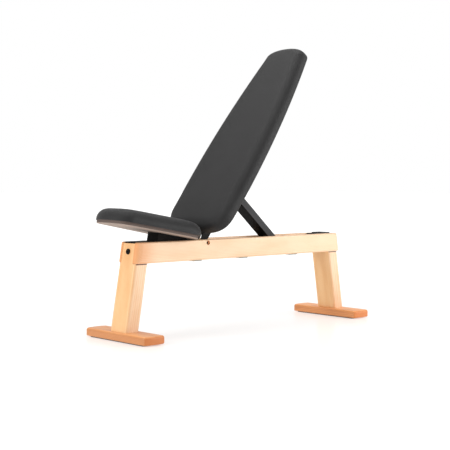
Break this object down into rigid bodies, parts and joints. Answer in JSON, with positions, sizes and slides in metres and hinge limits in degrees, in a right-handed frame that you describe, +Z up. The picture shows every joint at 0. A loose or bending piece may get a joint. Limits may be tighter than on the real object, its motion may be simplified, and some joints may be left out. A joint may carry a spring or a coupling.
{
  "type": "adjustable weight bench",
  "caption": "Wooden weight bench with an upholstered seat and a tilting backrest on steel pivots, propped by a strut and a short leg that step along notched racks.",
  "frame": {"origin": "on the floor in the middle of the whole bench, seat overhang included", "axes": "+X runs along the bench to the backrest end, +Y across it to its left side, +Z up; the bench is symmetric about Y = 0"},
  "size_m": [1.328, 0.38, 1.1763],
  "materials": {
    "foot_wood": "oiled solid wood, tan, with open grain",
    "frame_wood": "pale lacquered solid wood with fine straight grain",
    "black_rubber": "matt black rubber",
    "charcoal_leather": "charcoal leather with a fine grain, softly matt",
    "plywood": "thin plywood with bare layered edges",
    "grey_steel": "dull zinc-coated steel",
    "black_plastic": "moulded black plastic",
    "zinc_steel": "zinc-plated steel",
    "black_screws": "blackened steel",
    "black_steel": "satin black powder coat on steel"
  },
  "bodies": {
    "frame": {"backrest_axle": "black_screws", "end_bracket_screws": "black_screws", "foot_screws": "zinc_steel", "front_cap_plate": "black_steel", "front_end_bracket": "black_steel", "front_foot": "foot_wood", "front_foot_grip": "black_rubber", "front_post": "frame_wood", "front_post_bolt": "black_screws", "front_post_nut": "zinc_steel", "front_tie_plate": "grey_steel", "hinge_bracket": "black_steel", "hinge_bracket_screws": "black_screws", "left_rail": "frame_wood", "left_seat_rack": "black_steel", "left_strut_rack": "black_steel", "middle_tie_plate": "grey_steel", "rack_screws": "black_screws", "rear_buffer": "black_rubber", "rear_cap_plate": "black_steel", "rear_end_bracket": "black_steel", "rear_foot": "foot_wood", "rear_foot_grip": "black_rubber", "rear_post": "frame_wood", "rear_post_bolt": "black_screws", "rear_post_nut": "zinc_steel", "rear_tie_plate": "grey_steel", "right_rail": "frame_wood", "right_seat_rack": "black_steel", "right_strut_rack": "black_steel", "seat_pivot_pin": "zinc_steel", "tie_plate_screws": "zinc_steel"},
    "backrest": {"backrest_board": "plywood", "backrest_pad": "charcoal_leather", "backrest_bracket": "black_steel", "backrest_bushes": "black_plastic", "strut_mount": "black_steel", "backrest_screws": "black_screws", "backrest_stop_strip": "black_rubber", "strut_pivot_pin": "zinc_steel"},
    "strut": {"strut_tube": "black_steel", "strut_end_cap": "black_plastic", "strut_foot_bar": "zinc_steel"},
    "seat": {"seat_board": "plywood", "seat_pad": "charcoal_leather", "seat_box": "black_steel", "seat_bushes": "black_plastic", "seat_screws": "black_screws", "prop_pin": "zinc_steel"},
    "seat_prop": {"seat_prop": "black_steel", "seat_prop_bar": "zinc_steel"}
  },
  "joints": [
    {"name": "backrest_hinge", "type": "hinge", "parent": "frame", "child": "backrest", "pos_m": [-0.19595, 0, 0.362], "axis": [0, -1, 0], "range_deg": [-53.6, 16.3]},
    {"name": "strut_hinge", "type": "hinge", "parent": "backrest", "child": "strut", "pos_m": [0.00904, 0, 0.5402], "axis": [0, 1, 0], "range_deg": [-107.2, 32.6]},
    {"name": "seat_hinge", "type": "hinge", "parent": "frame", "child": "seat", "pos_m": [-0.25795, 0, 0.362], "axis": [0, 1, 0], "range_deg": [-10.5, 3.5]},
    {"name": "seat_prop_hinge", "type": "hinge", "parent": "seat", "child": "seat_prop", "pos_m": [-0.38942, 0, 0.36603], "axis": [0, 1, 0], "range_deg": [-19.5, 6.5]}
  ],
  "couplings": [
    {"joint": "strut_hinge", "follows": "backrest_hinge", "ratio": 2},
    {"joint": "seat_prop_hinge", "follows": "seat_hinge", "ratio": 1.8571}
  ]
}
